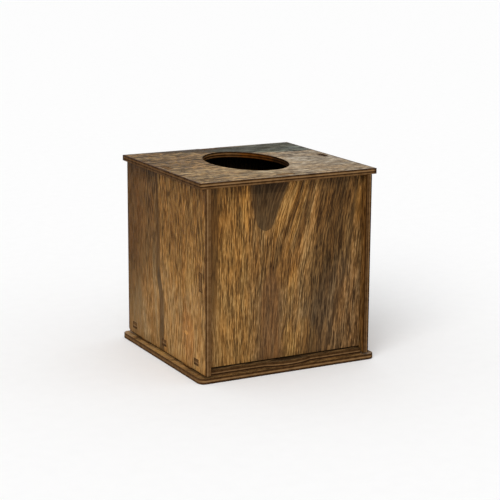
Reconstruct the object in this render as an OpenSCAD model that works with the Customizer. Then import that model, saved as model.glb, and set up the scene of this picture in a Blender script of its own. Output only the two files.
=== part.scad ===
// Cube tissue box cover, cut from one plywood sheet and slotted together.
// Two full-depth side panels carry the front, the back and the top on tenons,
// and stand with their feet in a base frame. The floor plate slides in on the
// frame from the front, under the short front panel, and holds the tissue box.
// Seen from the front, +X is to the right, +Y is to the back and +Z is up.
// The origin is in the middle of the underside of the base frame.

/* [Body] */
// Width over the two side panels
body_w = 130; // [126:1:150]
// Depth of the side panels, front edge to back edge
body_d = 131; // [127:1:150]
// Height from the base frame up to the underside of the top panel
body_h = 131; // [110:1:160]
// Thickness of every plywood piece
sheet_t = 4; // [3:0.5:5]
// How far the front panel lies behind the side panels' front edges
front_recess = 6.2; // [4:0.2:9]
// How far the back panel lies inside the side panels' back edges
back_recess = 2; // [1:0.5:4]
// Shadow gap between the side panels and the base frame
foot_gap = 0.8; // [0:0.1:1]
// Corner cut off at each side panel's lower back corner
corner_cut = 2; // [0.5:0.1:4]

/* [Top panel] */
// How far the top panel stands out past each side panel
top_overhang = 4; // [2:0.5:10]
// How far its front edge lies behind the side panels' front edges
top_front_setback = 0.5; // [0:0.1:1.5]
// How far its back edge lies inside the side panels' back edges
top_back_setback = 1.2; // [0:0.1:1.5]
// Width of the oval mouth, side to side
mouth_w = 55; // [40:1:66]
// Length of the oval mouth, front to back
mouth_l = 83; // [70:1:96]

/* [Base frame] */
// How far the base frame stands out past each side panel
base_overhang = 5; // [3:0.5:12]
// How far it stands out past the side panels' front and back edges
base_lip = 1.5; // [0.5:0.5:6]
// Radius of its outer corners
base_corner_r = 5; // [1:0.5:8]
// Width of the ledge that carries the floor plate along each side
side_ledge = 4; // [2.5:0.5:6]
// Width of the ledge at the front, behind the front panel
front_ledge = 0.8; // [0.2:0.2:3]
// Width of the ledge at the back, in front of the back panel
back_ledge = 2; // [1:0.5:4]
// Radius of the loading opening's corners
opening_corner_r = 3; // [1:0.5:8]

/* [Sliding floor] */
// How far the floor's front edge lies behind the side panels' front edges
floor_recess = 2.2; // [1:0.2:4]
// Width of the finger tab on the floor's front edge
tab_w = 36; // [20:1:60]
// Play between the floor and each side panel
floor_side_play = 1; // [0.3:0.1:1.5]
// Gap between the floor and the front panel above it
floor_top_gap = 0.7; // [0.3:0.1:1.5]
// Gap between the floor's back edge and the back panel when it is shut
floor_stop_gap = 0.3; // [0.1:0.1:1]

/* [Runners] */
// Width of the runner strip that holds the floor down along each side
runner_w = 5; // [3:0.5:8]
// Height of the runners above the floor
runner_gap = 1.4; // [0.5:0.1:3]
// Length of each of a runner's three tenons
runner_tenon_l = 6.5; // [4:0.5:12]
// Distance from a runner's end to its first tenon
runner_tenon_inset = 1.9; // [1:0.1:6]

/* [Joints] */
// Length of the panels' tenons and feet
tenon_l = 12.5; // [8:0.5:20]
// Distance from a corner of the body to the middle of the nearest foot
foot_inset = 29.5; // [20:0.5:40]
// Clearance round a tenon in its slot, on each face
slot_fit = 0.1; // [0.05:0.05:0.3]

/* [Hidden] */
$fn = 96;
// Overrun of every through cut
cut = 1;
// Number of points round the oval mouth
mouth_steps = 96;
panel_colour = "#7d5a34";
shade_colour = "#6b4c2c";
core_colour = "#8c6a42";

inner_x = body_w / 2 - sheet_t;
edge_y = body_d / 2;
base_top = sheet_t;
body_top = base_top + body_h;
side_bottom = base_top + foot_gap;
mid_z = (base_top + body_top) / 2;

front_face_y = -edge_y + front_recess;
front_inner_y = front_face_y + sheet_t;
front_bottom = base_top + sheet_t + floor_top_gap;
back_face_y = edge_y - back_recess;
back_inner_y = back_face_y - sheet_t;
inside_l = back_inner_y - front_inner_y;
inside_mid_y = (front_inner_y + back_inner_y) / 2;

foot_x = body_w / 2 - foot_inset;
foot_y = edge_y - foot_inset;

top_front_y = -edge_y + top_front_setback;
top_l = body_d - top_front_setback - top_back_setback;
top_w = body_w + 2 * top_overhang;

base_w = body_w + 2 * base_overhang;
base_d = body_d + 2 * base_lip;
opening_w = 2 * (inner_x - side_ledge);
opening_front_y = front_inner_y + front_ledge;
opening_back_y = back_inner_y - back_ledge;

floor_front_y = -edge_y + floor_recess;
floor_back_y = back_inner_y - floor_stop_gap;
floor_w = 2 * (inner_x - floor_side_play);
// The finger tab ends flush with the front of the base frame
tab_rise = floor_recess + base_lip;
tab_r = (pow(tab_w / 2, 2) + pow(tab_rise, 2)) / (2 * tab_rise);

runner_z = base_top + sheet_t + runner_gap;
runner_tenon_y = inside_l / 2 - runner_tenon_inset - runner_tenon_l / 2;

// A rectangle centred on the point [x, y]
module centred(x, y, size_x, size_y) {
    translate([x - size_x / 2, y - size_y / 2])
        square([size_x, size_y]);
}

// The slot for a tenon of the given size, centred on [x, y]
module slot(x, y, size_x, size_y) {
    centred(x, y, size_x + 2 * slot_fit, size_y + 2 * slot_fit);
}

// A centred rectangle with rounded corners
module rounded(size_x, size_y, r) {
    centred(0, 0, size_x - 2 * r, size_y);
    centred(0, 0, size_x, size_y - 2 * r);
    for (sx = [-1, 1], sy = [-1, 1])
        translate([sx * (size_x / 2 - r), sy * (size_y / 2 - r)])
            circle(r = r);
}

// The oval mouth, over the middle of the space inside
module mouth() {
    polygon([
        for (i = [0 : mouth_steps - 1])
            let (a = 360 * i / mouth_steps)
            [mouth_w / 2 * cos(a), inside_mid_y + mouth_l / 2 * sin(a)]
    ]);
}

// Stands an outline drawn in Y and Z upright, its left face at the place x
module upright_side(x) {
    translate([x, 0, 0])
        rotate([90, 0, 90])
            linear_extrude(height = sheet_t)
                children();
}

// Stands an outline drawn in X and Z upright, its front face at the place y
module upright_cross(y) {
    translate([0, y + sheet_t, 0])
        rotate([90, 0, 0])
            linear_extrude(height = sheet_t)
                children();
}

// Outline of a side panel: the wall with its top tenon and its two feet,
// slotted for the front panel and for the runner
module side_outline() {
    difference() {
        union() {
            translate([-edge_y, side_bottom])
                square([body_d, body_top - side_bottom]);
            centred(0, body_top, tenon_l, 2 * sheet_t);
            for (s = [-1, 1])
                centred(s * foot_y, base_top, tenon_l, 2 * sheet_t);
        }
        slot(front_face_y + sheet_t / 2, mid_z, sheet_t, tenon_l);
        for (s = [-1, 0, 1])
            slot(inside_mid_y + s * runner_tenon_y, runner_z + sheet_t / 2,
                runner_tenon_l, sheet_t);
        polygon([
            [edge_y - corner_cut, side_bottom],
            [edge_y + cut, side_bottom - cut],
            [edge_y, side_bottom + corner_cut]
        ]);
    }
}

// Outline of the front panel: it stops short of the base to let the floor pass
module front_outline() {
    translate([-inner_x, front_bottom])
        square([2 * inner_x, body_top - front_bottom]);
    centred(0, mid_z, body_w, tenon_l);
    centred(0, body_top, tenon_l, 2 * sheet_t);
}

// Outline of the back panel: it reaches the base and stops the floor
module back_outline() {
    translate([-inner_x, base_top])
        square([2 * inner_x, body_h]);
    centred(0, body_top, tenon_l, 2 * sheet_t);
    for (s = [-1, 1])
        centred(s * foot_x, base_top, tenon_l, 2 * sheet_t);
}

// The notch for the back panel's tenon, open at the back because a slot would
// leave too thin a strip of wood behind it
module back_notch() {
    translate([-tenon_l / 2 - slot_fit, back_inner_y - slot_fit])
        square([tenon_l + 2 * slot_fit, edge_y + cut - back_inner_y]);
}

module top_panel() {
    color(panel_colour)
        translate([0, 0, body_top])
            linear_extrude(height = sheet_t)
                difference() {
                    translate([-top_w / 2, top_front_y])
                        square([top_w, top_l]);
                    mouth();
                    for (s = [-1, 1])
                        slot(s * (inner_x + sheet_t / 2), 0, sheet_t, tenon_l);
                    slot(0, front_face_y + sheet_t / 2, tenon_l, sheet_t);
                    back_notch();
                }
}

module left_side_panel() {
    color(shade_colour)
        upright_side(-body_w / 2)
            side_outline();
}

module right_side_panel() {
    color(shade_colour)
        upright_side(inner_x)
            side_outline();
}

module front_panel() {
    color(panel_colour)
        upright_cross(front_face_y)
            front_outline();
}

module back_panel() {
    color(panel_colour)
        upright_cross(back_inner_y)
            back_outline();
}

// The base frame, open in the middle so that the tissue box goes in from below
module base_frame() {
    color(shade_colour)
        linear_extrude(height = sheet_t)
            difference() {
                rounded(base_w, base_d, base_corner_r);
                translate([0, (opening_front_y + opening_back_y) / 2])
                    rounded(opening_w, opening_back_y - opening_front_y, opening_corner_r);
                for (sx = [-1, 1], sy = [-1, 1])
                    slot(sx * (inner_x + sheet_t / 2), sy * foot_y, sheet_t, tenon_l);
                for (s = [-1, 1])
                    slot(s * foot_x, back_face_y - sheet_t / 2, tenon_l, sheet_t);
            }
}

// The floor plate, with the bowed finger tab on its front edge
module sliding_floor() {
    color(core_colour)
        translate([0, 0, base_top])
            linear_extrude(height = sheet_t) {
                translate([-floor_w / 2, floor_front_y])
                    square([floor_w, floor_back_y - floor_front_y]);
                intersection() {
                    translate([0, floor_front_y - tab_rise + tab_r])
                        circle(r = tab_r);
                    centred(0, floor_front_y, floor_w, 2 * (tab_rise + cut));
                }
            }
}

// Outline of the left runner, with its three tenons through the side panel
module runner_outline() {
    translate([-inner_x, front_inner_y])
        square([runner_w, inside_l]);
    for (s = [-1, 0, 1])
        translate([-body_w / 2, inside_mid_y + s * runner_tenon_y - runner_tenon_l / 2])
            square([sheet_t + runner_w, runner_tenon_l]);
}

module left_runner() {
    color(core_colour)
        translate([0, 0, runner_z])
            linear_extrude(height = sheet_t)
                runner_outline();
}

module right_runner() {
    color(core_colour)
        mirror([1, 0, 0])
            left_runner();
}

top_panel();
left_side_panel();
right_side_panel();
front_panel();
back_panel();
base_frame();
sliding_floor();
left_runner();
right_runner();
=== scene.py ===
"""Dresses a slotted plywood tissue box cover in stained veneer with laser-burnt edges."""

import math
from collections import namedtuple
from functools import partialmethod

import bmesh
import bpy
from bpy.props import FloatProperty, FloatVectorProperty, IntProperty, PointerProperty
from mathutils import Matrix, Vector


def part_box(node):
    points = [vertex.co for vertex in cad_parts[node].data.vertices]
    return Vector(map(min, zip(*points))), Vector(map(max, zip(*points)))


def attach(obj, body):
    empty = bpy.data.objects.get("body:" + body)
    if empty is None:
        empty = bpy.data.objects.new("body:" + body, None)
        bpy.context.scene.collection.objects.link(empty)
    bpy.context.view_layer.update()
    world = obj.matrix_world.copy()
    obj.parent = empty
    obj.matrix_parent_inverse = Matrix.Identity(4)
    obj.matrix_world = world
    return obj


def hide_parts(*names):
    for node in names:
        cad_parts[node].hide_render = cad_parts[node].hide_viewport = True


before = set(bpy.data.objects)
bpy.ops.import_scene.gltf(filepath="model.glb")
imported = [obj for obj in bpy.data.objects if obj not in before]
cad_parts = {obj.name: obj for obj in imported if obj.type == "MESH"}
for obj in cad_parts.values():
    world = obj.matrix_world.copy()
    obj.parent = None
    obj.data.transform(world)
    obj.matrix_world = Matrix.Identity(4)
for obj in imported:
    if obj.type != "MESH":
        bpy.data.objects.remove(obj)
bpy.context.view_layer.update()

bl_info = {
    "name": "Plywood Tissue Box Cover",
    "version": (1, 0, 0),
    "blender": (4, 5, 0),
    "location": "View3D > Sidebar > Tissue Box",
    "description": "Builds a slotted plywood tissue box cover with stained veneer and burnt edges",
    "category": "Object",
}

MM = 0.001
PER_MM = 1 / MM
# Points closer than this are one, and this near a glue line they lie on it
WELD = 0.001 * MM
ON_LINE = WELD * 10
# Faces that turn less than the first angle are one, edges that turn more than the second
# are sharp, and a face as square to the sheet as the third belongs to its two sides
FLAT_ANGLE = math.radians(1)
SHARP_ANGLE = math.radians(15)
SQUARELY = 0.999
SHEET_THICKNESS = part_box("top_panel")[1].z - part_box("top_panel")[0].z

LEFT, RIGHT = (-1, 0, 0), (1, 0, 0)
FRONT, BACK = (0, -1, 0), (0, 1, 0)
DOWN, UP = (0, 0, -1), (0, 0, 1)

# Tints by which the wood's colour is multiplied
PLAIN = (1.0, 1.0, 1.0, 1.0)
# a painted sheen of the white room that lifts and greys the top's colour
PAINTED_TOP_SHEEN = (1.67, 2.04, 2.75, 1.0)
FAWN = (1.0, 0.95, 0.84, 1.0)
BUFF = (1.0, 0.97, 0.90, 1.0)
GREY = (0.93, 1.04, 1.30, 1.0)
OLIVE = (0.97, 1.01, 1.08, 1.0)
# a painted sheen that greys dark wood
PAINTED_GREY_SHEEN = (0.70, 1.14, 1.48, 1.0)
# a painted sheen that pales and greys the wood
PAINTED_SILKY_SHEEN = (0.97, 1.06, 1.22, 1.0)
EMBER = (0.95, 0.62, 0.26, 1.0)
TOASTED = (0.84, 0.72, 0.58, 1.0)
CHARRED = (0.32, 0.26, 0.20, 1.0)
PURPLE = (1.0, 0.955, 1.08, 1.0)
AMBER = (1.06, 1.0, 0.82, 1.0)
COOL = (0.96, 1.02, 1.08, 1.0)
WARM = (1.06, 0.99, 0.86, 1.0)
REDDISH = (1.07, 0.97, 0.92, 1.0)
RUSSET = (1.0, 0.95, 0.86, 1.0)
TAWNY = (1.03, 0.96, 0.82, 1.0)
ASHEN = (0.99, 1.0, 1.12, 1.0)

# A mark in the wood, drawn by noise: its width across the grain and length along it in
# millimetres, how much finer detail it has and how strong that is, and the two levels of
# the noise between which it grows
Mark = namedtuple("Mark", "width length detail roughness levels", defaults=(0.5, None))

GRAIN = {
    "Bands": Mark(8, 240, 2.0),
    "Streaks": Mark(1.4, 55, 1.0),
    "Lines": Mark(0.56, 12, 1.0, levels=(0.41, 0.59)),
    "Flecks": Mark(0.44, 4, 0.0, levels=(0.44, 0.66)),
    "Pores": Mark(0.5, 5, 1.0, levels=(0.60, 0.72)),
    "Mottle": Mark(2.1, 4, 2.0, 0.6, (0.36, 0.64)),
    "Hue": Mark(5, 34, 2.0, levels=(0.32, 0.68)),
}
# How strongly each mark of the grain lightens and darkens the wood, and its pores darken it
STRENGTHS = (("Bands", 0.10), ("Streaks", 0.09), ("Lines", 0.55), ("Flecks", 0.25))
PORE_SHADE = 0.08
# The grain's broad and fine bends, with the millimetres by which they shift it, and the
# step in them from one sheet's seed to the next
BENDS = ((Mark(34, 90, 1.0), 4.0), (Mark(7, 30, 1.0), 0.9))
SEED_STEP = (7.3, 11.9, 5.1)
# How far the streaks move the edges of the figures, in millimetres
RAGGED_EDGE = 2.0

# The veneer's roughness, less on its lines and more in its pores, and its relief as
# strength and height
VENEER_ROUGHNESS, LINE_SHEEN, PORE_ROUGHNESS = 0.56, 0.20, 0.2
FLECK_RELIEF = 0.6
VENEER_BUMP = (0.6, 0.10 * MM)

# The scorch beside a cut: its patches, how little they leave of it, and the burn between
# which it grows
SCORCH = Mark(2.2, 2.2, 2.0, levels=(0.3, 0.7))
SCORCH_LEAST = 0.55
SCORCH_BURN = (0.15, 1.0)
# The toasted strip fades between these distances from the outline, in millimetres
TOAST_REACH = (0.2, 2.4)
# So do the top's charred corners, from both edges
CHAR_REACH = (0.8, 3.2)
CHAR = 0.85

# A cut edge: the waves of its plies and their height as a share of the sheet, its soot,
# its fine grain and its finish
PLY_WAVES, WAVE_HEIGHT = Mark(5, 5, 2.0), 0.06
SOOT, SOOT_SHADE = Mark(3.5, 3.5, 3.0, 0.6, (0.35, 0.75)), 0.22
CUT_GRAIN, CUT_BUMP = Mark(0.4, 0.4, 2.0), (0.4, 0.05 * MM)
CUT_ROUGHNESS, SOOT_ROUGHNESS, CUT_GLOSS = 0.55, 0.3, 0.02
# How squarely an edge looks along the grain as its end grain comes to hide the plies, and
# how much it hides them on a lying and on a standing sheet
END_GRAIN = (0.4, 1.0)
LYING_END_GRAIN, STANDING_END_GRAIN = 0.55, 0.9
# The mouth's wall lies more than these millimetres inside the top's outline, and is less
# burnt behind and to the right of these places
MOUTH_MARGIN = (15, 19)
MOUTH_BACK = (8 * MM, 13 * MM)
MOUTH_RIGHT = (12 * MM, 16 * MM)

# A sheet's hidden side starts between these shares of its thickness, and the painted shade
# of the inside within this distance behind the front panel's face
HIDDEN_SIDE = (0.4, 0.6)
INSIDE_FADE = 2 * MM

# The floor of the studio, and the distance from which the camera sees
PAPER = (0.93, 0.96)
PAPER_TOOTH, PAPER_ROUGHNESS, PAPER_GLOSS = 90.0, 0.9, 0.1
NEAREST_SEEN = 0.01

# A stretch of figured wood. Its path and half widths are (along, across) places and
# (along, half width) sizes in millimetres from the sheet's corner, or one number where
# they stay the same; edge is how far it fades, tone lightens or darkens it, tint colours
# it and calm quietens its grain.
Figure = namedtuple("Figure", "path widths edge tone tint calm", defaults=(None, 0.0))

# Grain that leans: how much it does at (across, slope) places, and how far the lean has
# shifted it at (along, shift) places. A curve reads the slopes times the scale, because
# they are small beside its millimetres.
Lean = namedtuple("Lean", "slopes shifts")
LEAN_SCALE = 20

# A plywood sheet of the cover: the CAD node it stands for, the side that shows, the
# directions across and along its grain, the wood it is cut from and how its plies show.
# Inside is the share of its colour that its hidden side keeps, a painted shade inside the
# cover; coarse widens its grain, mottle is the strength of its clouded figure, burnt that of
# the scorch beside its cuts and end how light its tenons' ends are. Rim, where the cut has
# toasted the wood beside the outline, is how far the outline lies inside the sheet's box at
# the start and the end of across and of along.
Sheet = namedtuple(
    "Sheet",
    "node slot out across along seed tone plies "
    "figures tint wander gloss body inside coarse mottle burnt end rim lean",
    defaults=((), PLAIN, 1.0, 0.10, "box", 0.12, 1.0, 0.0, 0.6, 0.45, None, None),
)

# How light a cut edge is at (depth, lightness) places, from the side that shows, 0, to the
# one behind it, 1
WALL_PLIES = ((0.0, 0.05), (0.08, 0.30), (0.20, 0.84), (0.36, 1.0), (0.44, 0.58),
              (0.60, 0.48), (0.68, 0.68), (0.84, 0.62), (0.93, 0.36))
FAR_WALL_PLIES = ((0.0, 0.0), (0.18, 0.10), (0.28, 0.70), (0.42, 0.90), (0.50, 0.36),
                  (0.68, 0.22), (0.76, 0.52), (0.88, 0.52), (0.96, 0.10))
TOP_PLIES = ((0.0, 0.12), (0.14, 0.16), (0.27, 0.82), (0.44, 1.0), (0.51, 0.24),
             (0.66, 0.08), (0.78, 0.66), (0.94, 0.62), (1.0, 0.55))
BASE_PLIES = ((0.0, 0.26), (0.22, 0.14), (0.34, 0.55), (0.45, 1.0), (0.56, 0.96),
              (0.68, 0.28), (0.90, 0.08))
FLOOR_PLIES = ((0.0, 0.34), (0.12, 0.24), (0.38, 0.30), (0.46, 0.95), (0.56, 0.85),
               (0.63, 0.08), (0.80, 0.06), (0.90, 0.60), (1.0, 0.75))
FRONT_PLIES = ((0.0, 0.20), (0.14, 0.36), (0.30, 0.60), (0.50, 0.66), (0.74, 0.62),
               (0.86, 0.74), (1.0, 0.90))
RUNNER_PLIES = ((0.0, 0.50), (0.12, 0.56), (0.30, 0.50), (0.44, 0.60), (0.58, 0.86),
                (0.70, 0.70), (0.82, 0.16), (1.0, 0.40))

FRONT_FIGURES = (
    # a darker patch in the middle and a lighter one at the right edge
    Figure(54, ((36, -4), (48, 7), (60, 7), (72, -4)), 5, -0.12),
    Figure(122, ((46, -2), (58, 4), (72, 4), (84, -2)), 2, 0.12),
    # redder wood in the upper part, and painted shade under the top's overhang
    Figure(61, ((0, 92), (50, 64), (84, -20)), 20, 0.0, RUSSET),
    Figure(24, ((0, 40), (14, 34), (30, -12)), 10, -0.05),
    Figure(61, ((0, 84), (6, 70), (12, -20)), 10, -0.07),
    # greyer wood low on the right, golden beside it, and a dim upper right corner
    Figure(((50, 112), (131, 110)), ((50, -20), (80, 18), (131, 34)), 10, 0.0, ASHEN),
    Figure(80, ((100, -4), (112, 8), (131, 9)), 4, 0.10, AMBER),
    Figure(122, ((0, 9), (30, 9), (50, -4)), 4, -0.06),
    # painted shadow of the left wall's edge in a strip beside it, with painted light low down
    Figure(((0, 9.6), (60, 9.2), (131, 8)), ((0, 3.2), (60, 2.8), (90, 1), (108, -2)),
           1.4, -0.19, calm=0.6),
    Figure(8, ((60, -4), (80, 5), (131, 5)), 2, 0.13, calm=0.3),
    # golden wood on the left, brightest low down
    Figure(((0, 22), (131, 24)), ((0, 12), (60, 13), (131, 14)), 5, 0.07, AMBER),
    Figure(24, ((50, -20), (90, 10), (131, 16)), 12, 0.04),
    Figure(((0, 34), (32, 34), (44, 37)), ((0, 2.4), (28, 2.2), (44, -2)), 1.2, 0.15, AMBER),
    # purple-brown heart low in the middle
    Figure(((60, 54), (90, 53), (131, 53)), ((58, -3), (76, 6), (110, 8), (131, 10)),
           4, -0.09, PURPLE, 0.4),
    # the dark band on the right: a soft side, a sharp side and the line between
    Figure(((0, 102), (34, 101), (64, 97), (84, 92.5), (104, 90), (131, 85)),
           ((0, 11), (64, 11), (84, 9), (131, 9)), 4, -0.24, calm=0.2),
    Figure(((0, 110), (34, 108), (64, 105), (84, 100), (104, 95), (131, 88)),
           ((0, 8), (64, 9), (131, 9)), 1.2, -0.08, OLIVE, 0.1),
    Figure(((60, 96), (84, 92), (104, 88), (131, 84)), ((50, -6), (84, 10), (131, 12)),
           5, 0.03, OLIVE, 0.1),
    Figure(((0, 120.5), (24, 119.5), (39, 118), (54, 115.8), (64, 114), (74, 112), (84, 109.6),
            (94, 106.6), (104, 104), (114, 101.5), (131, 97.6)),
           ((0, 0.6), (39, 0.9), (64, 1.5), (110, 1.7), (131, 1.3)), 0.9, -0.26, calm=0.6),
    # golden wood outside the band
    Figure(((10, 123), (26, 123.5), (40, 123)), ((8, -2), (16, 2), (26, 3.6), (36, 1), (44, -2)),
           1.5, 0.12, AMBER, 0.3),
    # brown wood below it with a light line, and two dark patches left of the band
    Figure(((50, 124), (104, 117), (131, 112)), ((30, -2), (70, 7), (131, 13)), 3, -0.09),
    Figure(((60, 118), (84, 114.5), (104, 110)), ((58, -2), (70, 2), (96, 2), (110, -2)),
           1.0, 0.09),
    Figure(60, ((46, -2), (56, 6), (68, 6), (78, -2)), 4, -0.08),
    Figure(((6, 78), (34, 73)), ((6, -2), (12, 3), (26, 3), (34, -2)), 2, -0.10),
    # bright flares in the middle
    Figure(((58, 72), (74, 70.5), (94, 68)), ((56, -2), (70, 2.6), (84, 2.4), (98, -2)),
           1.2, 0.17, AMBER),
    Figure(((98, 68), (131, 67)), ((96, -3), (114, 4), (131, 5)), 2, 0.13, AMBER),
    Figure(((40, 80), (60, 77), (80, 75)), ((38, -2), (50, 2), (70, 2), (82, -2)), 1.2, 0.12),
    # light and dark streaks that lean against the dark tongue
    Figure(((0, 73), (16, 67.5), (26, 63), (36, 59), (48, 55)),
           ((0, 5.4), (26, 5), (40, 3), (50, -2)), 1.2, 0.19, AMBER),
    Figure(((0, 79.5), (22, 71.5), (42, 64), (58, 59)), ((0, 0.9), (42, 0.9), (60, -2)),
           0.7, -0.22, AMBER, 0.3),
    Figure(((0, 83), (28, 75), (48, 68), (66, 62)), ((0, 1.2), (50, 1.2), (68, -2)),
           0.7, 0.12, AMBER),
    Figure(((0, 87), (29, 80), (49, 74), (66, 70)), ((0, 1.3), (50, 1.3), (68, -2)),
           0.8, -0.18, calm=0.3),
    Figure(((0, 91), (34, 86), (54, 80), (72, 76)), ((0, 1.8), (54, 1.8), (74, -2)), 1.0, 0.14),
    # the dark tongue itself
    Figure(((0, 52.2), (6, 51.5), (11, 50.7), (17, 49.8), (22, 49.2), (28, 48.8), (32, 48.7),
            (35, 48.8), (37.3, 49), (40, 49)),
           ((0, 15), (6, 14.5), (11, 13.4), (17, 11.8), (22, 10.1), (28, 8.5), (32, 7.2),
            (34.5, 5.9), (36.5, 3.9), (37.8, 1.4), (38.5, -1), (41, -5)),
           0.7, -0.27, GREY, 0.65),
    Figure(((0, 52), (20, 50)), ((0, 13), (12, 10), (24, -3)), 2.5, -0.05),
)

FRONT_LEAN = Lean(
    ((0, 0.0), (34, 0.02), (50, 0.16), (66, 0.38), (84, 0.32), (104, 0.22), (130, 0.16)),
    ((0, -40), (24, -18), (39, -6), (64, 6), (100, 14), (131, 20)),
)

LEFT_FIGURES = (
    # tawny wood at the back edge and beside it, and painted shade right under the top's overhang
    Figure(8, ((0, 9), (70, 9), (92, -4)), 3, -0.05, TAWNY),
    Figure(24, ((0, 10), (60, 10), (84, -4)), 4, 0.08, RUSSET),
    Figure(65, ((0, 90), (10, 66), (22, -30)), 16, -0.07),
    # darker and lighter patches, most of them towards the front
    Figure(((56, 92), (118, 96)), ((56, -2), (70, 8), (100, 8), (118, -2)), 4, -0.08),
    Figure(124, ((60, -2), (72, 8), (139, 8)), 2, 0.07),
    Figure(126, ((4, -2), (12, 7), (44, 7), (58, -2)), 2, -0.10),
    Figure(38, ((0, 10), (30, 8), (50, -2)), 3, -0.07),
    Figure(((20, 127), (50, 128)), ((16, -2), (26, 4), (44, 4), (54, -2)), 1.5, 0.14),
    Figure(104, ((48, -4), (58, 8), (72, 8), (82, -4)), 5, 0.07),
    Figure(112, ((88, -4), (98, 9), (110, 9), (122, -4)), 5, -0.07),
    Figure(80, ((38, -4), (48, 8), (62, 8), (72, -4)), 5, -0.06),
    # dull wood towards the back, darkest and smoothest at the far edge
    Figure(12, ((0, 17), (70, 15), (139, 14)), 2.5, -0.08, calm=0.3),
    Figure(((0, 22), (139, 24)), 29, 4, -0.12, calm=0.3),
    Figure(((0, 28), (139, 20)), ((0, 26), (30, 18), (60, -10)), 10, -0.05),
    Figure(20, ((70, -14), (110, 14), (139, 20)), 8, 0.06, GREY),
    # golden wood towards the front
    Figure(92, ((0, 36), (60, 34), (90, -10)), 8, 0.0, AMBER),
    Figure(((30, 106), (120, 110)), ((30, -8), (60, 9), (90, 9), (124, -6)), 7, 0.13),
    # painted light: all the wood is lighter low down, as light from the floor reaches it
    Figure(70, ((0, -60), (40, -30), (90, 50), (139, 110)), 50, 0.29),
    # the dark wavy vein between dull and golden wood, with light lines beside it
    Figure(((50, 47), (70, 46.6), (90, 48), (115, 50.5), (131, 51)),
           ((54, -2), (66, 1.6), (110, 2), (131, 1)), 1.2, 0.09, GREY),
    Figure(((0, 51), (9, 52), (24, 53), (34, 53.6), (49, 54.4), (64, 54), (74, 53.8),
            (84, 56.2), (94, 58.8), (104, 59.4), (124, 59.4), (139, 59.6)),
           ((0, 2.3), (24, 2.3), (34, 2.7), (49, 3.0), (64, 3.4), (74, 3.8), (84, 3.8), (104, 3.8),
            (124, 4.4), (139, 4.4)), 0.9, -0.25, calm=0.75),
    Figure(((70, 54), (84, 56.2), (94, 58.8), (104, 59.4), (124, 59.4), (139, 59.6)),
           ((68, -2), (84, 3.6), (104, 3.6), (139, 4.2)), 1.2, -0.18, GREY),
    Figure(((0, 54.2), (24, 55.6), (49, 57), (74, 57.8), (88, 61.2), (104, 63), (139, 64)),
           0.6, 0.7, 0.14),
    # reddish wood low at the front
    Figure(((90, 100), (130, 106)), ((86, -3), (104, 8), (120, 9), (134, 2)), 5, 0.0, REDDISH),
    # a light line close to the front edge
    Figure(((0, 119.6), (24, 120.2), (34, 121.8), (49, 124), (62, 125.2), (80, 126)),
           ((8, -1), (18, 0.6), (30, 0.6), (60, 0.6), (74, 0.6), (80, -2)), 0.6, 0.34, calm=0.4),
    # a light fleck
    Figure(100, ((108.6, -2), (110.5, 2.6), (112.4, -2)), 0.8, 0.80, AMBER, 0.4),
)

RIGHT_FIGURES = (
    # a dark front edge, a dark vein with its line, and golden and purple wood
    Figure(128, 7, 1, -0.10, RUSSET),
    Figure(((0, 40), (60, 46), (139, 38)), ((0, 8), (70, 12), (139, 9)), 4, -0.18, GREY, 0.3),
    Figure(((0, 52), (60, 60), (139, 48)), ((0, 1.4), (70, 1.8), (139, 1.4)), 1, -0.12),
    Figure(((0, 86), (139, 92)), ((0, 14), (139, 18)), 6, 0.10, AMBER),
    Figure(((0, 112), (139, 116)), ((0, 5), (139, 6)), 2, -0.14, PURPLE),
)

BACK_FIGURES = (
    # a dark heart with its line, between golden and reddish wood
    Figure(((0, 62), (70, 66), (139, 60)), ((0, 16), (50, 8), (139, 14)), 3, -0.16, GREY, 0.3),
    Figure(((0, 24), (139, 28)), ((0, 12), (139, 14)), 6, 0.10, AMBER),
    Figure(((0, 106), (139, 102)), ((0, 9), (139, 12)), 5, 0.08, REDDISH),
    Figure(((0, 76), (60, 78), (139, 72)), ((0, 1.4), (60, 1.8), (139, 1.2)), 1, -0.12),
)

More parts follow.
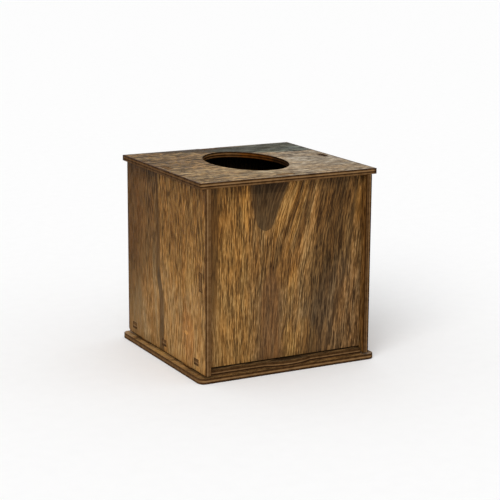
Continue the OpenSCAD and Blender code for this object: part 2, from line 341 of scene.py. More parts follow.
TOP_FIGURES = (
    # brown wood on the left, most of all at the back
    Figure(12, ((0, 64), (60, 40), (100, 8), (138, -20)), 24, -0.27, AMBER),
    Figure(65, ((0, 90), (30, 70), (56, -20)), 24, -0.08, TAWNY),
    Figure(8, ((0, 16), (40, 14), (60, -4)), 6, -0.06, OLIVE),
    # painted sheen, paler and greyer, in the middle and towards the front right
    Figure(((0, 110), (138, 90)), ((0, -20), (60, 30), (138, 46)), 30, 0.09, PAINTED_SILKY_SHEEN, 0.3),
    Figure(70, ((70, -20), (110, 20), (138, 50)), 24, 0.06, PAINTED_SILKY_SHEEN),
    Figure(60, ((60, -20), (84, 70), (138, 80)), 16, 0.0, ASHEN),
    # darker and lighter patches round the mouth
    Figure(((80, 108), (138, 100)), ((80, -10), (110, 20), (138, 24)), 10, -0.08),
    Figure(122, ((0, 22), (64, 18), (96, -6)), 8, -0.07),
    Figure(((96, 50), (138, 56)), ((96, -4), (116, 18), (138, 26)), 8, -0.08),
    Figure(((44, 6), (72, 8)), ((44, -2), (52, 5), (64, 5), (74, -2)), 2, -0.14),
    Figure(122, ((56, -4), (66, 9), (84, 9), (96, -4)), 5, -0.05),
    Figure(((0, 16), (54, 18)), ((0, 12), (42, 11), (54, -4)), 5, 0.13),
    Figure(60, ((98, -4), (110, 12), (128, 12), (138, -2)), 6, -0.07),
    Figure(64, ((22, -4), (30, 12), (40, 12), (50, -4)), 6, 0.06),
    # dark wood at the back right, greyed by a painted sheen
    Figure(((56, 14), (90, 18), (138, 20)), ((56, -6), (76, 10), (96, 16), (138, 19)),
           4, -0.33, PAINTED_GREY_SHEEN, 0.3),
    # a dark stretch along the back edge
    Figure(((20, 2), (50, 4), (70, 8), (90, 10)),
           ((16, -2), (34, 4), (56, 7), (74, 9), (96, 2)), 3, -0.55),
    # the darker right end of that dark wood
    Figure(((100, 14), (138, 16)), ((98, -4), (112, 14), (138, 17)), 4, -0.10),
)

BASE_FIGURES = (
    # light wood in the middle of the left ledge
    Figure(66, ((0, 36), (8, 30), (16, -10)), 16, 0.26),
    Figure(66, ((0, 90), (8, 80), (16, -20)), 6, 0.08),
    # streaks and a golden band from side to side
    Figure(((0, 22), (140, 24)), 3, 1.2, -0.20),
    Figure(((0, 40), (140, 44)), ((0, 2.5), (140, 2)), 1.2, -0.16),
    Figure(((0, 62), (140, 60)), 8, 2, 0.08, AMBER),
    Figure(((0, 84), (140, 82)), 2.4, 1.0, -0.20),
    Figure(112, 20, 3, -0.06),
    # lighter and darker stretches, and painted shade on all of it from the left wall on, where the
    # cover stands over it
    Figure(10, 7, 3, 0.14),
    Figure(84, 7, 4, -0.14),
    Figure(99, 2.5, 3, 0.07),
    Figure(112, 5, 3, -0.13),
    Figure(67, ((3.4, -6), (4.1, 64), (8, 64)), 4, -0.30),
    # dark wood in front of the floor
    Figure(133, 3.4, 0.8, -0.08),
)

FLOOR_FIGURES = (
    # greyed and darker towards the front
    Figure(118, 14, 4, -0.16, GREY),
    # painted shadow where the front panel stands over it, darkest behind the tab
    Figure(117, 1.6, 1, -0.22, calm=0.4),
    Figure(120, ((45, -1), (53, 1.8), (69, 1.8), (77, -1)), 0.8, -0.42, calm=0.4),
    # golden in the middle
    Figure(((0, 60), (120, 66)), ((0, 20), (120, 16)), 6, 0.08, AMBER),
)

SHEETS = {
    s.node: s
    for s in (
        # the top's tint is a painted sheen over its whole face
        Sheet("top_panel", "top_ply", UP, FRONT, RIGHT, seed=3, tone=0.52, plies=TOP_PLIES,
              figures=TOP_FIGURES, tint=PAINTED_TOP_SHEEN, wander=1.5, gloss=0.05, coarse=1.7, mottle=0.35,
              burnt=0.3, end=0.2, rim=(0, 0, 0, 0)),
        Sheet("left_side_panel", "side_ply", LEFT, FRONT, DOWN, seed=7, tone=0.51,
              plies=WALL_PLIES, figures=LEFT_FIGURES, tint=FAWN, wander=1.2, gloss=0.02,
              coarse=1.2, burnt=0.7, end=0.75, rim=(0, 0, 4, 3.8)),
        Sheet("right_side_panel", "side_ply", RIGHT, FRONT, DOWN, seed=11, tone=0.50,
              plies=FAR_WALL_PLIES, figures=RIGHT_FIGURES, tint=BUFF, wander=1.8, gloss=0.05,
              burnt=0.9, end=0.1, rim=(0, 0, 4, 3.8)),
        Sheet("front_panel", "front_ply", FRONT, RIGHT, DOWN, seed=5, tone=0.54,
              plies=FRONT_PLIES, figures=FRONT_FIGURES, gloss=0.06, burnt=0.3, end=0.95,
              lean=FRONT_LEAN),
        Sheet("back_panel", "front_ply", BACK, LEFT, DOWN, seed=13, tone=0.53,
              plies=FRONT_PLIES, figures=BACK_FIGURES, wander=1.8, gloss=0.06, burnt=0.3),
        Sheet("base_frame", "base_ply", UP, FRONT, RIGHT, seed=17, tone=0.65,
              plies=BASE_PLIES, figures=BASE_FIGURES, inside=1.0, mottle=0.15),
        Sheet("sliding_floor", "floor_ply", UP, FRONT, RIGHT, seed=19, tone=0.49,
              plies=FLOOR_PLIES, figures=FLOOR_FIGURES, body="floor", inside=1.0),
        Sheet("left_runner", "floor_ply", UP, RIGHT, FRONT, seed=23, tone=0.46,
              plies=RUNNER_PLIES, wander=0.5, inside=1.0),
        Sheet("right_runner", "floor_ply", UP, LEFT, FRONT, seed=29, tone=0.46,
              plies=RUNNER_PLIES, wander=0.5, inside=1.0),
    )
}


def srgb(red, green, blue):
    """A colour given on the 0 to 255 scale, as scene-linear values."""
    def linear(value):
        share = value / 255
        return share / 12.92 if share <= 0.04045 else ((share + 0.055) / 1.055) ** 2.4
    return (*(linear(v) for v in (red, green, blue)), 1.0)


def grey(value):
    return (value, value, value, 1.0)


def colour(name, description, value):
    return FloatVectorProperty(
        name=name, description=description, default=srgb(*value), subtype="COLOR",
        min=0.0, max=1.0, size=4,
    )


def length(name, description, default):
    return FloatProperty(
        name=name, description=description, default=default, min=0.0, unit="LENGTH",
        subtype="DISTANCE", precision=5,
    )


class TissueBoxCuts(bpy.types.PropertyGroup):
    """Sizes of the sheets' cut edges."""

    arris: length("Arris", "Width of the eased edge of every cut", 0.25 * MM)
    arris_steps: IntProperty(
        name="Arris Steps", description="Number of facets on an eased edge", default=2, min=1
    )
    burn: length("Burn", "Width of the scorched strip beside a cut", 0.7 * MM)
    groove: length("Glue Line", "Depth of the scorched glue lines in the edges", 0.12 * MM)
    groove_width: length("Glue Line Width", "Width of a glue line", 0.3 * MM)
    ply: FloatProperty(
        name="Face Ply", description="Thickness of a face ply, as a share of the sheet",
        default=0.28, min=0.1, max=0.4, subtype="FACTOR",
    )


class TissueBoxStain(bpy.types.PropertyGroup):
    """Colours of the stained wood."""

    deepest: colour("Deepest", "Pores and scorched grain", (46, 30, 13))
    dark: colour("Dark", "Late wood", (80, 57, 32))
    middle: colour("Middle", "The stain's main colour", (111, 81, 46))
    light: colour("Light", "Early wood", (137, 102, 60))
    lightest: colour("Lightest", "Bright flecks", (172, 135, 88))
    scorch: colour("Scorch", "Wood burnt by the cut", (42, 25, 10))
    toast: colour("Toast", "Wood browned by the heat beside a cut", (68, 38, 8))
    core: colour("Core", "The middle ply at a cut edge", (94, 66, 37))
    ply: colour("Light Ply", "The lightest ply at a cut edge", (136, 105, 70))


class TissueBoxStudio(bpy.types.PropertyGroup):
    """The floor, the lights and the camera."""

    lens: FloatProperty(
        name="Lens", description="Focal length of the camera", default=111.68, min=20,
        unit="CAMERA",
    )
    eye: FloatVectorProperty(
        name="Eye", description="Place of the camera", default=(-0.51338, -0.97190, 0.32814),
        unit="LENGTH", subtype="TRANSLATION", precision=4,
    )
    target: FloatVectorProperty(
        name="Target", description="The point that the camera looks at",
        default=(0.00237, -0.00136, 0.07362), unit="LENGTH", subtype="TRANSLATION", precision=4,
    )
    roll: FloatProperty(
        name="Roll", description="Turn of the camera about its own axis",
        default=math.radians(0.345), subtype="ANGLE",
    )
    floor: length("Floor", "Half the width of the floor", 8.0)
    sky: FloatProperty(
        name="Sky", description="Brightness of the white room", default=0.72, min=0.0
    )
    key: FloatProperty(
        name="Key Light", description="Brightness of the soft light from the front left",
        default=1.6, min=0.0,
    )
    key_turn: FloatVectorProperty(
        name="Key Turn", description="Turn of the soft light from pointing straight down",
        default=(math.radians(50), 0.0, math.radians(-45)), subtype="EULER",
    )
    key_softness: FloatProperty(
        name="Key Softness", description="How wide the soft light looks from the box",
        default=math.radians(40), subtype="ANGLE",
    )


class Tree:
    """Adds nodes to a node tree and joins them."""

    def __init__(self, tree):
        self.nodes = tree.nodes
        self.links = tree.links

    def add(self, kind, *values, **settings):
        """A node whose first inputs take the values, which may be other nodes' sockets."""
        node = self.nodes.new("ShaderNode" + kind)
        for name, value in settings.items():
            setattr(node, name, value)
        for socket, value in zip(node.inputs, values):
            self.feed(socket, value)
        return node

    def feed(self, socket, value):
        if isinstance(value, bpy.types.NodeSocket):
            self.links.new(value, socket)
        elif value is not None:
            socket.default_value = value

    def math(self, operation, *values, clamp=False):
        return self.add("Math", *values, operation=operation, use_clamp=clamp).outputs[0]

    plus = partialmethod(math, "ADD")
    minus = partialmethod(math, "SUBTRACT")
    times = partialmethod(math, "MULTIPLY")

    def vector(self, operation, *values):
        return self.add("VectorMath", *values, operation=operation).outputs[0]

    def dot(self, vector, direction):
        return self.add("VectorMath", vector, direction, operation="DOT_PRODUCT").outputs["Value"]

    def smooth(self, value, low, high, start=0.0, end=1.0):
        """A smooth step from start to end as the value goes from low to high."""
        return self.add(
            "MapRange", value, low, high, start, end, interpolation_type="SMOOTHSTEP"
        ).outputs[0]

    def mix(self, amount, first, second, blend="MIX"):
        """A blend of two colours, which are a Mix node's seventh and eighth inputs."""
        node = self.add("Mix", amount, data_type="RGBA", blend_type=blend)
        self.feed(node.inputs[6], first)
        self.feed(node.inputs[7], second)
        return node.outputs[2]

    def multiply(self, base, tint, amount=1.0):
        return self.mix(amount, base, tint, "MULTIPLY")

    def object_place(self):
        return self.add("TexCoord").outputs["Object"]

    def axes(self, place):
        return self.add("SeparateXYZ", place).outputs

    def written(self, name):
        """A value that mark_cuts has written on the mesh."""
        node = self.add("Attribute", attribute_name=name, attribute_type="GEOMETRY")
        return node.outputs["Fac"]

    def marks(self, place, mark, start=0.0, end=1.0):
        """A mark's noise, from start to end where it has levels."""
        across, along = 1 / mark.width, 1 / mark.length
        node = self.add("TexNoise", self.vector("MULTIPLY", place, (across, along, across)))
        self.feed(node.inputs["Scale"], 1.0)
        self.feed(node.inputs["Detail"], mark.detail)
        self.feed(node.inputs["Roughness"], mark.roughness)
        if mark.levels is None:
            return node.outputs["Fac"]
        return self.smooth(node.outputs["Fac"], *mark.levels, start, end)

    def swing(self, value, size):
        """A value from 0 to 1 about its middle, times a size."""
        return self.times(self.minus(value, 0.5), size)

    def bump(self, height, strength, distance):
        """The normal of a surface with the given relief."""
        node = self.add("Bump", strength, distance)
        self.feed(node.inputs["Height"], height)
        return node.outputs[0]

    def ramp(self, value, stops):
        """A colour ramp with stops of (position, colour)."""
        node = self.add("ValToRGB", value)
        elements = node.color_ramp.elements
        while len(elements) < len(stops):
            elements.new(0.5)
        for element, (position, shade) in zip(elements, stops):
            element.position = position
            element.color = shade
        return node.outputs["Color"]

    def curve(self, value, points, span):
        """A smooth curve through (place, size) points, both read in the span's units."""
        if isinstance(points, (int, float)):
            return points
        node = self.add("FloatCurve", 1.0, self.math("DIVIDE", value, span))
        line = node.mapping.curves[0].points
        shares = [(place / span, 0.5 + size / span / 2) for place, size in points]
        line[0].location, line[1].location = shares[0], shares[-1]
        for share in shares[1:-1]:
            line.new(*share)
        node.mapping.update()
        return self.swing(node.outputs[0], 2 * span)


def new_group(name, inputs, outputs):
    """A node group with its sockets, its Tree and its input and output nodes."""
    group = bpy.data.node_groups.new(name, "ShaderNodeTree")
    for direction, sockets in (("INPUT", inputs), ("OUTPUT", outputs)):
        for socket, kind in sockets.items():
            group.interface.new_socket(
                name=socket, in_out=direction, socket_type="NodeSocket" + kind
            )
    start = group.nodes.new("NodeGroupInput")
    end = group.nodes.new("NodeGroupOutput")
    return group, Tree(group), start.outputs, end.inputs


def place_group(tree, name, *values):
    """Sets a shared group in a tree, making it on its first use, and returns its outputs."""
    group = bpy.data.node_groups.get(name) or GROUPS[name](name)
    node = tree.add("Group", node_tree=group)
    for socket, value in zip(node.inputs, values):
        tree.feed(socket, value)
    return node.outputs


def make_wander_group(name):
    """Bends straight grain the way it wanders in a tree."""
    group, t, given, out = new_group(
        name, {"Place": "Vector", "Amount": "Float", "Seed": "Float"}, {"Place": "Vector"}
    )
    step = t.vector("MULTIPLY", SEED_STEP, given["Seed"])
    seeded = t.vector("ADD", given["Place"], step)
    bend = 0.0
    for mark, size in BENDS:
        bend = t.plus(bend, t.swing(t.marks(seeded, mark), size))
    shift = t.add("CombineXYZ", t.times(bend, given["Amount"]), 0.0, 0.0)
    t.feed(out["Place"], t.vector("ADD", seeded, shift.outputs[0]))
    return group


def make_grain_group(name):
    """The marks of wood grain, its clouded mottle and how its hue drifts."""
    group, t, given, out = new_group(name, {"Place": "Vector"}, dict.fromkeys(GRAIN, "Float"))
    for socket, mark in GRAIN.items():
        t.feed(out[socket], t.marks(given["Place"], mark))
    return group


def make_figure_group(name):
    """Masks a stretch of wood between two edges that follow a path along the grain."""
    group, t, given, out = new_group(
        name,
        {"Across": "Float", "Middle": "Float", "Half Width": "Float", "Edge": "Float"},
        {"Mask": "Float"},
    )
    away = t.math("ABSOLUTE", t.minus(given["Across"], given["Middle"]))
    inside = t.minus(given["Half Width"], away)
    outer = t.times(given["Edge"], -1.0)
    t.feed(out["Mask"], t.smooth(inside, outer, given["Edge"]))
    return group


def make_stain_group(name):
    """The stain's colour for a tone from 0, dark, to 1, light."""
    group, t, given, out = new_group(name, {"Tone": "Float"}, {"Color": "Color"})
    stain = bpy.context.scene.tissue_box_stain
    stops = (
        (0.0, stain.deepest), (0.25, stain.dark), (0.5, stain.middle), (0.75, stain.light),
        (1.0, stain.lightest),
    )
    t.feed(out["Color"], t.ramp(given["Tone"], stops))
    return group


def make_scorch_group(name):
    """How strongly the cut has burnt the wood beside it."""
    group, t, given, out = new_group(
        name, {"Burn": "Float", "Place": "Vector"}, {"Mask": "Float"}
    )
    uneven = t.marks(given["Place"], SCORCH, SCORCH_LEAST, 1.0)
    near = t.smooth(given["Burn"], *SCORCH_BURN)
    t.feed(out["Mask"], t.times(near, uneven, clamp=True))
    return group


def make_cut_group(name):
    """The colour of a cut edge for how light its ply is, with the soot that the cut left."""
    group, t, given, out = new_group(
        name, {"Light": "Float", "Place": "Vector"}, {"Color": "Color", "Soot": "Float"}
    )
    stain = bpy.context.scene.tissue_box_stain
    soot = t.marks(given["Place"], SOOT)
    light = t.minus(given["Light"], t.times(soot, SOOT_SHADE))
    stops = ((0.0, stain.scorch), (0.5, stain.core), (1.0, stain.ply))
    t.feed(out["Color"], t.ramp(light, stops))
    t.feed(out["Soot"], soot)
    return group


GROUPS = {
    "Grain wander": make_wander_group,
    "Veneer grain": make_grain_group,
    "Figured stretch": make_figure_group,
    "Stain colour": make_stain_group,
    "Cut scorch": make_scorch_group,
    "Cut wood": make_cut_group,
}


def sheet_place(tree, sheet):
    """Millimetres across and along the grain, and through the sheet, from its corner."""
    low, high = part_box(sheet.node)
    ways = [Vector(v) for v in (sheet.across, sheet.along, sheet.out)]
    total = sum(ways, Vector())
    corner = Vector(high[i] if total[i] < 0 else low[i] for i in range(3))
    local = tree.vector("SUBTRACT", tree.object_place(), corner)
    shares = [tree.dot(local, way * PER_MM) for way in ways]
    return tree.add("CombineXYZ", *shares).outputs[0]


def lean_grain(tree, lean, axes, span):
    """Shifts the across place of grain that leans."""
    slopes = [(place, LEAN_SCALE * size) for place, size in lean.slopes]
    slope = tree.curve(axes["X"], slopes, span)
    shift = tree.curve(axes["Y"], lean.shifts, span)
    moved = tree.times(tree.times(slope, shift), 1 / LEAN_SCALE)
    return tree.plus(axes["X"], moved)


def behind_front(tree):
    """Whether a place lies behind the front panel's face, where the painted shade of the inside
    begins.
    """
    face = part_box("front_panel")[0].y
    return tree.smooth(tree.axes(tree.object_place())["Y"], face, face + INSIDE_FADE)


def margins(tree, sheet, rim=(0, 0, 0, 0)):
    """How far a place lies from the sheet's outline, across it and along it."""
    axes = tree.axes(sheet_place(tree, sheet))
    low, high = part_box(sheet.node)
    nearest = []
    for axis, way, start, end in (("X", sheet.across, *rim[:2]), ("Y", sheet.along, *rim[2:])):
        size = abs((high - low).dot(Vector(way))) * PER_MM
        to_start = tree.minus(axes[axis], start)
        to_end = tree.minus(size - end, axes[axis])
        nearest.append(tree.math("MINIMUM", to_start, to_end))
    return nearest


def toasted_rim(tree, sheet):
    """The strip along the sheet's outline that the heat of the cut has browned."""
    margin = tree.math("MINIMUM", *margins(tree, sheet, sheet.rim))
    return tree.smooth(margin, *TOAST_REACH, 1.0, 0.0)


def new_material(name):
    """A new material with its Tree and its shader's inputs."""
    material = bpy.data.materials.new(name)
    material.use_nodes = True
    tree = Tree(material.node_tree)
    return material, tree, tree.nodes["Principled BSDF"].inputs


def veneer_material(sheet):
    """The stained face of a sheet, with its own figure and painted shade on its hidden side."""
    material, t, surface = new_material(sheet.node + "_veneer")
    place = sheet_place(t, sheet)
    axes = t.axes(place)
    low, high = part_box(sheet.node)
    span = max(high - low) * PER_MM
    leaning = place
    if sheet.lean:
        across = lean_grain(t, sheet.lean, axes, span)
        leaning = t.add("CombineXYZ", across, axes["Y"], axes["Z"]).outputs[0]
    wandered = place_group(t, "Grain wander", leaning, sheet.wander, sheet.seed)["Place"]
    widened = t.vector("MULTIPLY", wandered, (1 / sheet.coarse, 1.0, 1.0))
    grain = place_group(t, "Veneer grain", widened)
    marks = 0.0
    for name, strength in (*STRENGTHS, ("Mottle", sheet.mottle)):
        marks = t.plus(marks, t.swing(grain[name], strength))
    marks = t.minus(marks, t.times(grain["Pores"], PORE_SHADE))

    edge_place = t.plus(axes["X"], t.swing(grain["Streaks"], RAGGED_EDGE))
    tone, noisy, tints = sheet.tone, 1.0, []
    for figure in sheet.figures:
        middle = t.curve(axes["Y"], figure.path, span)
        half = t.curve(axes["Y"], figure.widths, span)
        mask = place_group(t, "Figured stretch", edge_place, middle, half, figure.edge)["Mask"]
        tone = t.plus(tone, t.times(mask, figure.tone))
        noisy = t.minus(noisy, t.times(mask, figure.calm))
        if figure.tint:
            tints.append((mask, figure.tint))
    tone = t.plus(tone, t.times(marks, noisy))
    base = t.multiply(place_group(t, "Stain colour", tone)["Color"], sheet.tint)
    base = t.multiply(base, t.mix(grain["Hue"], COOL, WARM))
    for mask, tint in tints:
        base = t.multiply(base, tint, mask)

    # painted shade: behind the front panel's face the sheet's hidden side keeps only its inside
    # share of colour
    painted_inside_shade = t.times(t.smooth(t.written("depth"), *HIDDEN_SIDE), behind_front(t))
    base = t.multiply(base, grey(sheet.inside), painted_inside_shade)
    scorched = place_group(t, "Cut scorch", t.written("burn"), place)["Mask"]
    stain = bpy.context.scene.tissue_box_stain
    if sheet.rim:
        base = t.mix(toasted_rim(t, sheet), base, stain.toast)
    base = t.mix(t.times(scorched, sheet.burnt), base, stain.scorch)
    t.feed(surface["Base Color"], base)
    rough = t.minus(VENEER_ROUGHNESS, t.times(grain["Lines"], LINE_SHEEN))
    rough = t.plus(rough, t.times(grain["Pores"], PORE_ROUGHNESS))
    t.feed(surface["Roughness"], rough)
    t.feed(surface["Specular IOR Level"], sheet.gloss)
    relief = t.plus(grain["Lines"], t.times(grain["Flecks"], FLECK_RELIEF))
    relief = t.minus(relief, grain["Pores"])
    t.feed(surface["Normal"], t.bump(relief, *VENEER_BUMP))
    return material


def smouldered(tree, sheet, base):
    """Tints the mouth's burnt wall: least at the back right, charred towards the front."""
    place = tree.axes(tree.object_place())
    to_back = tree.smooth(place["Y"], *MOUTH_BACK)
    to_right = tree.smooth(place["X"], *MOUTH_RIGHT)
    tint = tree.mix(to_back, CHARRED, tree.mix(to_right, TOASTED, EMBER))
    inside = tree.smooth(tree.math("MINIMUM", *margins(tree, sheet)), *MOUTH_MARGIN)
    return tree.multiply(base, tint, inside)


def charred_corners(tree, sheet):
    """The back left and front right corners, where the laser paused."""
    margin = tree.math("MAXIMUM", *margins(tree, sheet))
    place = tree.axes(tree.object_place())
    apart = tree.math("LESS_THAN", tree.times(place["X"], place["Y"]), 0.0)
    return tree.times(apart, tree.smooth(margin, *CHAR_REACH, CHAR, 0.0))


def cut_edge_material(sheet):
    """The plies of a sheet's cut edges."""
    material, t, surface = new_material(sheet.node + "_cut_edge")
    place = t.vector("MULTIPLY", t.object_place(), (PER_MM, PER_MM, PER_MM))
    depth = t.plus(t.written("depth"), t.swing(t.marks(place, PLY_WAVES), WAVE_HEIGHT))
    light = t.ramp(depth, [(share, grey(size)) for share, size in sheet.plies])
    facing = t.math("ABSOLUTE", t.dot(t.add("NewGeometry").outputs["Normal"], sheet.along))
    lying = sheet.out == UP
    most = LYING_END_GRAIN if lying else STANDING_END_GRAIN
    light = t.mix(t.smooth(facing, *END_GRAIN, 0.0, most), light, grey(sheet.end))
    cut = place_group(t, "Cut wood", light, place)
    base = smouldered(t, sheet, cut["Color"])
    if lying:
        base = t.mix(charred_corners(t, sheet), base, bpy.context.scene.tissue_box_stain.scorch)
    t.feed(surface["Base Color"], base)
    t.feed(surface["Roughness"], t.plus(CUT_ROUGHNESS, t.times(cut["Soot"], SOOT_ROUGHNESS)))
    t.feed(surface["Specular IOR Level"], CUT_GLOSS)
    t.feed(surface["Normal"], t.bump(t.marks(place, CUT_GRAIN), *CUT_BUMP))
    return material


def ease_arrises(bm, cuts):
    """Takes the sharpness off every outside edge."""
    sharp = [
        e for e in bm.edges if e.is_manifold and e.calc_face_angle_signed() > SHARP_ANGLE
    ]
    bmesh.ops.bevel(
        bm, geom=sharp, offset=cuts.arris, offset_type="OFFSET", segments=cuts.arris_steps,
        profile=0.5, affect="EDGES", material=-1, clamp_overlap=True,
    )


def score_glue_lines(bm, cuts, out, surface):
    """Cuts the two glue lines as shallow grooves round every edge of the sheet."""
    for share in (cuts.ply, 1 - cuts.ply):
        # a groove's two sides and its middle
        for offset in (-0.5, 0.0, 0.5):
            depth = share * SHEET_THICKNESS + offset * cuts.groove_width
            bmesh.ops.bisect_plane(
                bm, geom=bm.verts[:] + bm.edges[:] + bm.faces[:], dist=WELD,
                plane_co=out * (surface - depth), plane_no=out,
            )
    bm.normal_update()
    for share in (cuts.ply, 1 - cuts.ply):
        middle = surface - share * SHEET_THICKNESS
        for vert in bm.verts:
            if abs(vert.co.dot(out) - middle) < ON_LINE:
                vert.co -= vert.normal * cuts.groove


def is_face(face, out):
    """Whether a face belongs to one of the sheet's two sides."""
    return abs(face.normal.dot(out)) > SQUARELY


def hole_middles(bm, out, way):
    """Where the middle of each hole through the sheet lies along a direction."""
    rim = {
        e for f in bm.faces if f.normal.dot(out) > SQUARELY for e in f.edges
        if not all(is_face(g, out) for g in e.link_faces)
    }
    spans = []
    while rim:
        loop = [rim.pop()]
        for edge in loop:
            joined = rim.intersection(e for v in edge.verts for e in v.link_edges)
            rim -= joined
            loop.extend(joined)
        places = [v.co.dot(way) for e in loop for v in e.verts]
        spans.append((max(places) - min(places), (max(places) + min(places)) / 2))
    return [middle for _, middle in sorted(spans)[:-1]]


def clean_faces(bm, out, way):
    """Makes the sheet's faces plain, divided only by straight lines through its holes."""
    for middle in hole_middles(bm, out, way):
        cut = bmesh.ops.bisect_plane(
            bm, geom=bm.verts[:] + bm.edges[:] + bm.faces[:], dist=WELD,
            plane_co=way * middle, plane_no=way,
        )
        for edge in cut["geom_cut"]:
            if isinstance(edge, bmesh.types.BMEdge):
                edge.seam = True
    bmesh.ops.dissolve_limit(
        bm, angle_limit=FLAT_ANGLE, verts=bm.verts, edges=bm.edges, delimit={"SEAM"}
    )


def inset_faces(bm, cuts, out):
    """Insets the sheet's two faces by the width of the burnt strip."""
    bmesh.ops.inset_region(
        bm, faces=[f for f in bm.faces if is_face(f, out)], thickness=cuts.burn, depth=0.0,
        use_boundary=True, use_even_offset=True,
    )


def mark_cuts(bm, out, surface):
    """Writes on each vertex whether a cut has burnt it and how deep in the sheet it is."""
    burn = bm.verts.layers.float.new("burn")
    depth = bm.verts.layers.float.new("depth")
    for vert in bm.verts:
        vert[burn] = 1.0 if any(not is_face(f, out) for f in vert.link_faces) else 0.0
        vert[depth] = (surface - vert.co.dot(out)) / SHEET_THICKNESS


def dress_sheet(name):
    """Builds a sheet from its CAD node, with eased, layered and scorched cut edges."""
    sheet = SHEETS[name]
    cuts = bpy.context.scene.tissue_box_cuts
    out = Vector(sheet.out)
    low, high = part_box(name)
    surface = max(low.dot(out), high.dot(out))
    bm = bmesh.new()
    bm.from_mesh(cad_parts[name].data)
    bmesh.ops.remove_doubles(bm, verts=bm.verts, dist=WELD)
    clean_faces(bm, out, Vector(sheet.across))
    inset_faces(bm, cuts, out)
    ease_arrises(bm, cuts)
    score_glue_lines(bm, cuts, out, surface)
    mark_cuts(bm, out, surface)
    for face in bm.faces:
        face.smooth = True
        face.material_index = 0 if is_face(face, out) else 1
    for edge in bm.edges:
        edge.smooth = edge.is_manifold and abs(edge.calc_face_angle_signed()) < SHARP_ANGLE
    mesh = bpy.data.meshes.new(name + "_sheet")
    bm.to_mesh(mesh)
    bm.free()
    mesh.materials.append(veneer_material(sheet))
    mesh.materials.append(cut_edge_material(sheet))
    piece = bpy.data.objects.new(name + "_sheet", mesh)
    bpy.context.scene.collection.objects.link(piece)
    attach(piece, sheet.body)
    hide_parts(name)


def dress_sheets(*names):
    """Builds the sheets of one step."""
    for name in names:
        dress_sheet(name)
    return {"FINISHED"}


class TISSUEBOX_OT_top_panel(bpy.types.Operator):
    """Makes the top panel with its oval mouth"""

    bl_idname = "tissue_box.top_panel"
    bl_label = "Top Panel"

    def execute(self, context):
        return dress_sheets("top_panel")


class TISSUEBOX_OT_side_panels(bpy.types.Operator):
    """Makes the two side panels"""

    bl_idname = "tissue_box.side_panels"
    bl_label = "Side Panels"

    def execute(self, context):
        return dress_sheets("left_side_panel", "right_side_panel")


class TISSUEBOX_OT_front_panel(bpy.types.Operator):
    """Makes the front panel with its dark tongue of figured wood"""

    bl_idname = "tissue_box.front_panel"
    bl_label = "Front Panel"

    def execute(self, context):
        return dress_sheets("front_panel")


class TISSUEBOX_OT_back_panel(bpy.types.Operator):
    """Makes the back panel"""

    bl_idname = "tissue_box.back_panel"
    bl_label = "Back Panel"

    def execute(self, context):
        return dress_sheets("back_panel")


class TISSUEBOX_OT_base_frame(bpy.types.Operator):
    """Makes the base frame"""

    bl_idname = "tissue_box.base_frame"
    bl_label = "Base Frame"

    def execute(self, context):
        return dress_sheets("base_frame")


class TISSUEBOX_OT_sliding_floor(bpy.types.Operator):
    """Makes the floor plate that slides out at the front"""

    bl_idname = "tissue_box.sliding_floor"
    bl_label = "Sliding Floor"

    def execute(self, context):
        return dress_sheets("sliding_floor")


class TISSUEBOX_OT_runners(bpy.types.Operator):
    """Makes the two runners above the sliding floor"""

    bl_idname = "tissue_box.runners"
    bl_label = "Runners"

    def execute(self, context):
        return dress_sheets("left_runner", "right_runner")


def lay_floor(studio):
    bm = bmesh.new()
    bmesh.ops.create_grid(bm, x_segments=1, y_segments=1, size=studio.floor)
    mesh = bpy.data.meshes.new("studio_floor")
    bm.to_mesh(mesh)
    bm.free()
    material, t, surface = new_material("studio_paper")
    tooth = t.add("TexNoise", t.object_place())
    tooth.inputs["Scale"].default_value = PAPER_TOOTH
    paper = t.mix(tooth.outputs["Fac"], *(grey(share) for share in PAPER))
    t.feed(surface["Base Color"], paper)
    t.feed(surface["Roughness"], PAPER_ROUGHNESS)
    t.feed(surface["Specular IOR Level"], PAPER_GLOSS)
    mesh.materials.append(material)
    floor = bpy.data.objects.new("studio_floor", mesh)
    bpy.context.scene.collection.objects.link(floor)


def light_room(studio):
    world = bpy.data.worlds.new("white_room")
    world.use_nodes = True
    sky = world.node_tree.nodes["Background"].inputs
    sky["Color"].default_value = grey(1.0)
    sky["Strength"].default_value = studio.sky
    bpy.context.scene.world = world
    key = bpy.data.lights.new("key_light", "SUN")
    key.energy = studio.key
    key.angle = studio.key_softness
    lamp = bpy.data.objects.new("key_light", key)
    lamp.rotation_euler = studio.key_turn
    bpy.context.scene.collection.objects.link(lamp)


def set_camera(studio):
    camera = bpy.data.cameras.new("photo_camera")
    camera.lens = studio.lens
    camera.clip_start = NEAREST_SEEN
    holder = bpy.data.objects.new("photo_camera", camera)
    eye = Vector(studio.eye)
    turn = (Vector(studio.target) - eye).to_track_quat("-Z", "Y").to_matrix().to_4x4()
    roll = Matrix.Rotation(studio.roll, 4, "Z")
    holder.matrix_world = Matrix.Translation(eye) @ turn @ roll
    bpy.context.scene.collection.objects.link(holder)
    bpy.context.scene.camera = holder


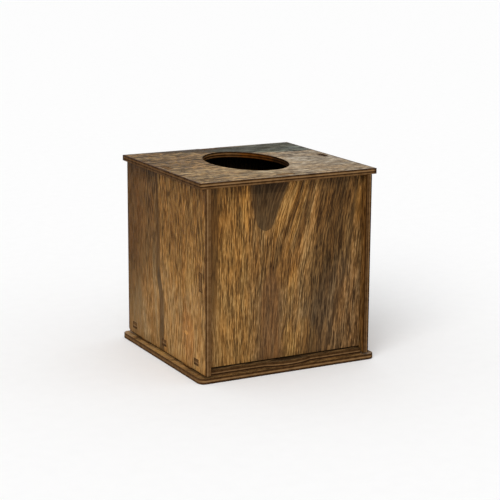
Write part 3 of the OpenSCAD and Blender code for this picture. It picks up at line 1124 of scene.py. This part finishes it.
class TISSUEBOX_OT_studio(bpy.types.Operator):
    """Lays the pale floor and sets the lights and the camera"""

    bl_idname = "tissue_box.studio"
    bl_label = "Studio"

    def execute(self, context):
        studio = context.scene.tissue_box_studio
        lay_floor(studio)
        light_room(studio)
        set_camera(studio)
        context.scene.view_settings.view_transform = "Standard"
        return {"FINISHED"}


STEPS = (
    TISSUEBOX_OT_top_panel, TISSUEBOX_OT_side_panels, TISSUEBOX_OT_front_panel,
    TISSUEBOX_OT_back_panel, TISSUEBOX_OT_base_frame, TISSUEBOX_OT_sliding_floor,
    TISSUEBOX_OT_runners, TISSUEBOX_OT_studio,
)
SETTINGS = {
    "tissue_box_cuts": TissueBoxCuts,
    "tissue_box_stain": TissueBoxStain,
    "tissue_box_studio": TissueBoxStudio,
}


class TISSUEBOX_PT_sidebar(bpy.types.Panel):
    """Lists the steps and the settings of the tissue box cover"""

    bl_idname = "TISSUEBOX_PT_sidebar"
    bl_label = "Tissue Box Cover"
    bl_space_type = "VIEW_3D"
    bl_region_type = "UI"
    bl_category = "Tissue Box"

    def draw(self, context):
        for step in STEPS:
            self.layout.operator(step.bl_idname)
        for name, group in SETTINGS.items():
            box = self.layout.box()
            for setting in group.__annotations__:
                box.prop(getattr(context.scene, name), setting)


def register():
    for group in SETTINGS.values():
        bpy.utils.register_class(group)
    for name, group in SETTINGS.items():
        setattr(bpy.types.Scene, name, PointerProperty(type=group))
    for step in STEPS:
        bpy.utils.register_class(step)
    bpy.utils.register_class(TISSUEBOX_PT_sidebar)


def unregister():
    bpy.utils.unregister_class(TISSUEBOX_PT_sidebar)
    for step in reversed(STEPS):
        bpy.utils.unregister_class(step)
    for name, group in SETTINGS.items():
        delattr(bpy.types.Scene, name)
        bpy.utils.unregister_class(group)


def main():
    register()
    bpy.ops.tissue_box.top_panel()
    bpy.ops.tissue_box.side_panels()
    bpy.ops.tissue_box.front_panel()
    bpy.ops.tissue_box.back_panel()
    bpy.ops.tissue_box.base_frame()
    bpy.ops.tissue_box.sliding_floor()
    bpy.ops.tissue_box.runners()
    bpy.ops.tissue_box.studio()


if __name__ == "__main__":
    main()
